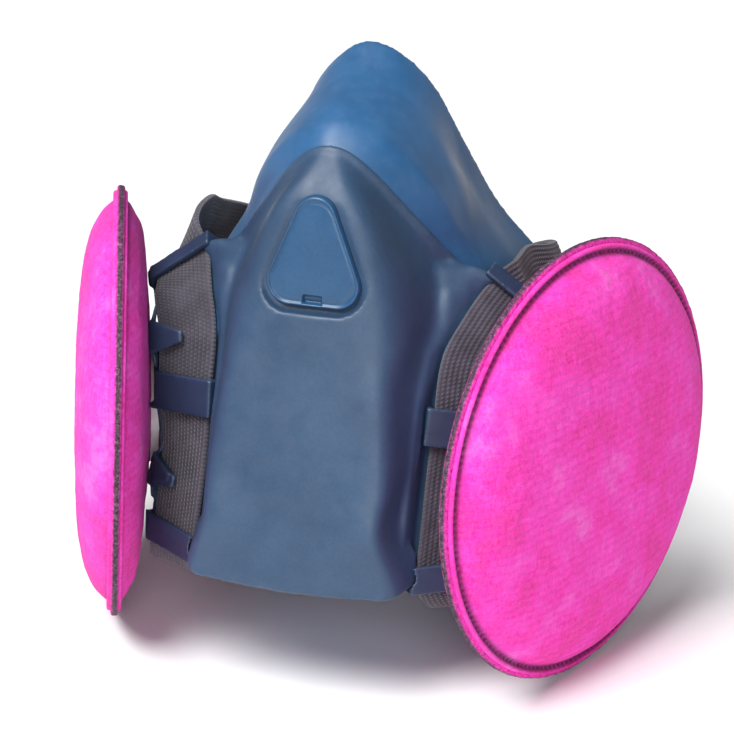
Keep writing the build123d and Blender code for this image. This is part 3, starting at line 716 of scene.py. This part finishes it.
def filter_felt_mesh(name, side, skin, sign, seed):
    """One felt, turned about the port axis: a lumpy skin with a stitched groove, the painted shade
    along that groove, and its back.
    """
    front = smooth_curve(skin, FELT_RINGS)
    back = smooth_curve([(r, max(z - FELT, 0.06)) for r, z in reversed(skin)], FELT_BACK_RINGS)
    has_hole = skin[0][0] > 0
    profile = np.vstack([front, [(skin[-1][0], (front[-1][1] + back[0][1]) / 2)], back])
    if not has_hole:
        profile[0, 0] = 0.0
        profile[-1, 0] = 0.0
    count = 4 * STITCHES
    turn = np.linspace(0, 2 * math.pi, count, endpoint=False)
    points, place, groove_shade, index = [], [], [], []
    shift = Vector((seed * 3.1, seed * 1.7, seed * 0.9))
    for k, (radius, height) in enumerate(profile):
        row = []
        ring = 1 if radius < 1e-6 else count
        for j in range(ring):
            angle = turn[j]
            x, y = radius * math.cos(angle), radius * math.sin(angle)
            lift = 0.0
            dark = 0.0
            if k < len(front):
                where = Vector((x, y, 0)) + shift
                lift = sum(high * noise.noise(where / wide) for high, wide in FELT_LUMPS)
                if radius > LUMP_FADE:
                    lift *= min(1.0, max(0.15, (LUMP_END - radius) / (LUMP_END - LUMP_FADE)))
                dot = 0.5 + 0.5 * math.cos(STITCHES * angle)
                off_groove = radius - GROOVE_RADIUS
                lift -= GROOVE_DEPTH * math.exp(-(off_groove / GROOVE_WIDTH) ** 2) * dot
                # Painted shade along the groove, strongest at each stitch dent.
                dark = min(1.0, 1.5 * math.exp(-(off_groove / GROOVE_SHADE_WIDTH) ** 2)) * (0.7 + 0.3 * dot)
            row.append(len(points))
            points.append((x, y, sign * (height + lift)))
            place.append((x * MM + seed * 0.07, y * MM, sign * height * MM))
            groove_shade.append(dark)
        index.append(row)
    faces = []
    for a, b in zip(index, index[1:]):
        faces += ring_faces(a, b, count)
    if has_hole:
        faces += ring_faces(index[-1], index[0], count)
    matrix = side_matrix(side)
    world = [matrix @ (Vector(p) * MM) for p in points]
    obj = new_object(name, world, faces)
    fix_normals(obj)
    vector_attribute(obj, "felt_place", place)
    float_attribute(obj, "felt_groove_shade", groove_shade)
    return obj


def fix_normals(obj):
    """Turns every face outwards."""
    work = bmesh.new()
    work.from_mesh(obj.data)
    bmesh.ops.recalc_face_normals(work, faces=work.faces)
    work.to_mesh(obj.data)
    work.free()
    obj.data.shade_smooth()


def filter_rim_mesh(name, side, seed):
    """The welded rim: a thin rounded band with a rough cut edge."""
    half = RIM_HALF
    section = [(51.2, half - 0.25), (51.6, half), (52.3, half + 0.02), (52.75, half - 0.15),
               (53.0, half - 0.5), (53.0, 0.0), (53.0, 0.5 - half), (52.75, 0.15 - half),
               (52.3, -half), (51.6, -half), (51.2, 0.25 - half), (51.2, 0.0)]
    count = 4 * STITCHES
    points, faces, face = [], [], []
    matrix = side_matrix(side)
    for j in range(count):
        angle = 2 * math.pi * j / count
        for radius, height in section:
            where = Vector((radius * math.cos(angle), radius * math.sin(angle),
                            height * 3 + seed * 7))
            rough = 0.14 * noise.noise(where / 1.3) + 0.08 * noise.noise(where / 3.5)
            r = radius + (rough if radius > 52 else 0) - 0.05
            z = height + (0.5 * rough if abs(height) > 0.3 else 0)
            points.append(matrix @ (Vector((r * math.cos(angle), r * math.sin(angle), z)) * MM))
            face.append(min(1.0, max(0.0, (abs(height) - 0.55) / 0.35)))
    n = len(section)
    for j in range(count):
        j2 = (j + 1) % count
        for k in range(n):
            k2 = (k + 1) % n
            faces.append((j * n + k, j2 * n + k, j2 * n + k2, j * n + k2))
    obj = new_object(name, points, faces)
    fix_normals(obj)
    float_attribute(obj, "rim_face", face)
    return obj


# ---- badge -------------------------------------------------------------------------------------


def badge_mesh():
    """The rounded triangle in the cover's well: a crowned face, a raised edge and a latch slot."""
    low = BADGE_CORNER - BADGE_HEIGHT / 2
    high = BADGE_HEIGHT / 2 - BADGE_POINT
    side = BADGE_WIDTH / 2 - BADGE_CORNER
    corners = [(-side, low, BADGE_CORNER), (side, low, BADGE_CORNER), (0, high, BADGE_POINT)]
    outline = []
    for k in range(1440):
        angle = 2 * math.pi * k / 1440
        n = (math.cos(angle), math.sin(angle))
        x, y, r = max(corners, key=lambda c: c[0] * n[0] + c[1] * n[1] + c[2])
        outline.append((x + r * n[0], y + r * n[1]))
    loop = np.array(outline + [outline[0]])
    run = np.concatenate([[0], np.cumsum(np.linalg.norm(np.diff(loop, axis=0), axis=1))])
    at = np.linspace(0, run[-1], 300, endpoint=False)
    loop = np.stack([np.interp(at, run, loop[:, k]) for k in range(2)], axis=1)
    centre = np.array((0.0, -1.5))
    # Rings from the middle out, closer together at the raised edge.
    rings = [*np.linspace(0.03, 0.86, 34), 0.885, 0.905, 0.92, 0.935, 0.95, 0.965, 0.98, 0.99,
             0.997, 1.0]
    tilt = math.radians(BADGE_TILT)
    plane = Matrix(((1, 0, 0, 0),
                    (0, math.sin(tilt), -math.cos(tilt), BADGE_CENTRE[0] * MM),
                    (0, math.cos(tilt), math.sin(tilt), BADGE_CENTRE[1] * MM),
                    (0, 0, 0, 1)))

    def height(share, x, y):
        lip = 0.28 * math.exp(-((share - 0.945) / 0.022) ** 2)
        fall = 0.0 if share < 0.965 else -1.0 * ((share - 0.965) / 0.035) ** 2
        crown = 0.25 * (1 - share ** 2)
        dip = -0.22 * math.exp(-((share - 0.89) / 0.03) ** 2)
        z = 0.05 + lip + fall + crown + dip
        across = max(0.0, 1 - max(0.0, abs(x) - 2.0) / 0.4)
        down = max(0.0, 1 - max(0.0, abs(y + 11.2) - 0.75) / 0.35)
        if across > 0 and down > 0:
            z -= 1.15 * min(1.0, across) * min(1.0, down)
        return z

    points = [plane @ (Vector((centre[0], centre[1], height(0, 0, 0))) * MM)]
    faces = []
    n = len(loop)
    for share in rings:
        for p in loop:
            x, y = centre + (p - centre) * share
            points.append(plane @ (Vector((x, y, height(share, x, y))) * MM))
    for p in loop:
        points.append(plane @ (Vector((p[0], p[1], -BADGE_DEPTH + 0.02)) * MM))
    points.append(plane @ (Vector((centre[0], centre[1], -BADGE_DEPTH + 0.02)) * MM))
    for j in range(n):
        faces.append((0, 1 + j, 1 + (j + 1) % n))
    rows = len(rings) + 1
    for k in range(rows - 1):
        for j in range(n):
            a, b = 1 + k * n, 1 + (k + 1) * n
            j2 = (j + 1) % n
            faces.append((a + j, b + j, b + j2, a + j2))
    base = 1 + (rows - 1) * n
    for j in range(n):
        faces.append((base + j, len(points) - 1, base + (j + 1) % n))
    obj = new_object("size_badge_face", points, faces)
    fix_normals(obj)
    return obj


# ---- straps ------------------------------------------------------------------------------------


def strap_mesh(name, side, rails):
    """Woven elastic along a pair of rails: a flat tube with a ribbed face, both edges rounded."""
    middle = [(np.array(a) + np.array(b)) / 2 for a, b in rails]
    length = sum(np.linalg.norm(q - p) for p, q in zip(middle, middle[1:]))
    count = int(length / STRAP_STEP)
    both = smooth_curve([(*m, *(np.array(b) - np.array(a))) for m, (a, b) in zip(middle, rails)],
                        count)
    centre, width = both[:, :3], both[:, 3:]
    along = np.gradient(centre, axis=0)
    across_n = RIBS * 6
    share = np.linspace(0, 1, across_n + 1)
    half = STRAP_THICK / 2
    offsets, heights, edges = [], [], []
    for face in (1, -1):
        for s in (share if face > 0 else share[::-1]):
            rib = 0.5 - 0.5 * math.cos(2 * math.pi * RIBS * s)
            rim = min(s, 1 - s) * STRAP_WIDTH
            inside = min(1.0, rim / EDGE_ROUNDING)
            rounding = math.sqrt(max(0.0, 1 - (1 - inside) ** 2))
            heights.append(face * half * rounding * (1 - RIB_SHARE + RIB_SHARE * rib))
            offsets.append(s - 0.5)
            edges.append(max(0.0, 1 - rim / SELVEDGE))
    # The two faces meet at both edges, where the second face's points are left out.
    keep = [i for i in range(len(offsets)) if i not in (across_n + 1, 2 * across_n + 1)]
    points, place, edge = [], [], []
    run = 0.0
    for i in range(count):
        x_dir = width[i] / np.linalg.norm(width[i])
        z_dir = along[i] - x_dir * np.dot(along[i], x_dir)
        z_dir /= np.linalg.norm(z_dir)
        y_dir = np.cross(z_dir, x_dir)
        if i:
            run += float(np.linalg.norm(centre[i] - centre[i - 1]))
        for k in keep:
            p = centre[i] + x_dir * offsets[k] * STRAP_WIDTH + y_dir * heights[k]
            points.append((side * p[0] * MM, p[1] * MM, p[2] * MM))
            place.append(((offsets[k] + 0.5) * STRAP_WIDTH * MM, run * MM, 0.0))
            edge.append(edges[k])
    n = len(keep)
    faces = []
    for i in range(count - 1):
        for k in range(n):
            k2 = (k + 1) % n
            faces.append((i * n + k, (i + 1) * n + k, (i + 1) * n + k2, i * n + k2))
    for base in (0, (count - 1) * n):
        for k in range(across_n):
            corners = (base + k, base + k + 1, base + (n - k - 1) % n, base + (n - k) % n)
            corners = tuple(dict.fromkeys(corners))
            if len(corners) > 2:
                faces.append(corners)
    obj = new_object(name, points, faces)
    fix_normals(obj)
    vector_attribute(obj, "web_place", place)
    float_attribute(obj, "web_edge", edge)
    return obj


# ---- build the pieces --------------------------------------------------------------------------

seal = moulded("face_seal_skin", "face_seal", SEAL_SKIN)
fill_cheeks(seal)
dress(seal, "mask", "silicone", "face_seal")

lumps = [lump for side, _ in SIDES for lump in cover_lumps(side)]
cover = moulded("front_cover_shell", "front_cover", COVER_SKIN, lumps)
cover = smooth_shoulders(cover)
dress(cover, "mask", "cover_plastic", "front_cover")

badge = badge_mesh()
dress(badge, "mask", "badge_plastic", "size_badge")

cradle = moulded("head_cradle_pad", "head_cradle", CRADLE_SKIN)
dress(cradle, "head_harness", "harness_plastic", "head_cradle")

for node, body in (("neck_buckle_hook", "buckle_hook_half"),
                   ("neck_buckle_loop", "buckle_loop_half")):
    piece = moulded(node + "_moulding", node, BUCKLE_SKIN)
    dress(piece, body, "harness_plastic", node)

for side, word in SIDES:
    body = word + "_filter"
    outer = filter_felt_mesh(word + "_filter_front_felt", side, OUTER_SKIN, 1, side + OUTER_SEED)
    dress(outer, body, "filter_felt", word + "_filter_outer_felt")
    inner = filter_felt_mesh(word + "_filter_back_felt", side, INNER_SKIN, -1, side + INNER_SEED)
    dress(inner, body, "filter_felt", word + "_filter_inner_felt")
    rim = filter_rim_mesh(word + "_filter_rim_band", side, side + RIM_SEED)
    dress(rim, body, "filter_weld", word + "_filter_weld")

    guide = moulded(word + "_strap_frame_moulding", word + "_strap_frame", FRAME_SKIN,
                    strap_frame_lumps(side))
    dress(guide, "mask", "frame_plastic", word + "_strap_frame")

    neck = strap_mesh(word + "_neck_webbing", side, NECK_RAILS)
    dress(neck, "mask", "woven_elastic", word + "_strap")
    hang = HEAD_RAILS
    if side > 0:
        sag = RIGHT_SAG + [(0, 0)] * (len(HEAD_RAILS) - len(RIGHT_SAG))
        hang = [tuple((x - inwards, y, z - down) for x, y, z in pair)
                for pair, (inwards, down) in zip(HEAD_RAILS, sag)]
    head = strap_mesh(word + "_head_webbing", side, hang)
    dress(head, None, "woven_elastic", word + "_head_strap")
    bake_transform(head)

    slide = moulded(word + "_adjuster_moulding", word + "_head_adjuster", BUCKLE_SKIN)
    dress(slide, word + "_adjuster", "harness_plastic", word + "_head_adjuster")

# CAD nodes that are shown as they are, and their materials.
CARRIED = {
    "exhalation_valve": "valve_rubber",
    "exhalation_valve_seat": "port_plastic",
    "filter_collar": "filter_collar_plastic",
    "filter_media": "filter_media",
    "inhalation_port": "port_plastic",
    "inhalation_valve": "valve_rubber",
    "port_gasket": "gasket_rubber",
}
for name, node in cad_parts.items():
    base = name.removeprefix("right_").removeprefix("left_")
    if base in CARRIED:
        if not node.material_slots:
            node.data.materials.append(MATERIALS[CARRIED[base]])
        for entry in node.material_slots:
            entry.material = MATERIALS[CARRIED[base]]

# ---- floor, light and camera -------------------------------------------------------------------

FLOOR_GAP = 0.0004
FLOOR_REACH = 3.0
FLOOR_STEPS = 60


def floor_mesh():
    """A pale floor just below the lowest CAD point, on an even grid."""
    size, steps = FLOOR_REACH, FLOOR_STEPS
    height = cad_box[0][2] - FLOOR_GAP
    points, faces = [], []
    for i in range(steps + 1):
        for j in range(steps + 1):
            points.append((size * (2 * i / steps - 1), size * (2 * j / steps - 1), height))
    for i in range(steps):
        for j in range(steps):
            a = i * (steps + 1) + j
            faces.append((a, a + steps + 1, a + steps + 2, a + 1))
    return new_object("floor", points, faces)


floor = floor_mesh()
paper = Shader("floor_paper", 0.9)
tone = paper.ramp(paper.noise(300.0), [(0.3, linear(246, 246, 247)), (0.7, linear(250, 250, 250))])
floor.data.materials.append(paper.finish(tone))


def light(name, kind, shining, power):
    """A light of some kind that shines along a direction."""
    data = bpy.data.lights.new(name, kind)
    data.energy = power
    obj = bpy.data.objects.new(name, data)
    bpy.context.scene.collection.objects.link(obj)
    obj.rotation_euler = Vector(shining).to_track_quat("-Z", "Y").to_euler()
    return obj


def area_light(name, place, aim, size, power):
    """A disc of light, size metres across, that faces a point."""
    obj = light(name, "AREA", Vector(aim) - Vector(place), power)
    obj.data.shape = "DISK"
    obj.data.size = size
    obj.location = place


def sun_light(name, place, softness, power):
    """A distant light on the side of place, softness degrees wide."""
    obj = light(name, "SUN", -Vector(place), power)
    obj.data.angle = math.radians(softness)


sun_light("key", (-0.24, -0.46, 0.86), softness=36, power=3.4)
area_light("front", (0.42, -1.15, 0.5), (0.03, 0, 0.02), size=0.7, power=5.5)
area_light("crown", (-0.08, -0.28, 0.36), (0, -0.01, 0.06), size=0.18, power=0.75)

world = bpy.data.worlds.new("studio")
world.use_nodes = True
sky = world.node_tree.nodes["Background"]
sky.inputs["Color"].default_value = (1, 1, 1, 1)
sky.inputs["Strength"].default_value = 0.15
bpy.context.scene.world = world
bpy.context.scene.view_settings.view_transform = "Standard"

AZIMUTH, ELEVATION, ROLL = (math.radians(a) for a in (16.8, 22.15, 0.46))
DISTANCE = 653.5
SENSOR = 36.0
LENS = 128.3935
SHIFT = -0.01312
LOOK_AT = Vector((0, 28.02, 5.29))
back = Vector((math.sin(AZIMUTH) * math.cos(ELEVATION), -math.cos(AZIMUTH) * math.cos(ELEVATION),
               math.sin(ELEVATION)))
level = Vector((math.cos(AZIMUTH), math.sin(AZIMUTH), 0))
upright = back.cross(level)
right = math.cos(ROLL) * level + math.sin(ROLL) * upright
up = -math.sin(ROLL) * level + math.cos(ROLL) * upright
camera_data = bpy.data.cameras.new("camera")
camera_data.sensor_width = SENSOR
camera_data.lens = LENS
camera_data.shift_x = SHIFT
camera_data.clip_start = 0.01
camera_data.clip_end = 20
camera = bpy.data.objects.new("camera", camera_data)
bpy.context.scene.collection.objects.link(camera)
camera.matrix_world = Matrix.Translation((LOOK_AT + back * DISTANCE) * MM) @ Matrix(
    (right, up, back)).transposed().to_4x4()
bpy.context.scene.camera = camera
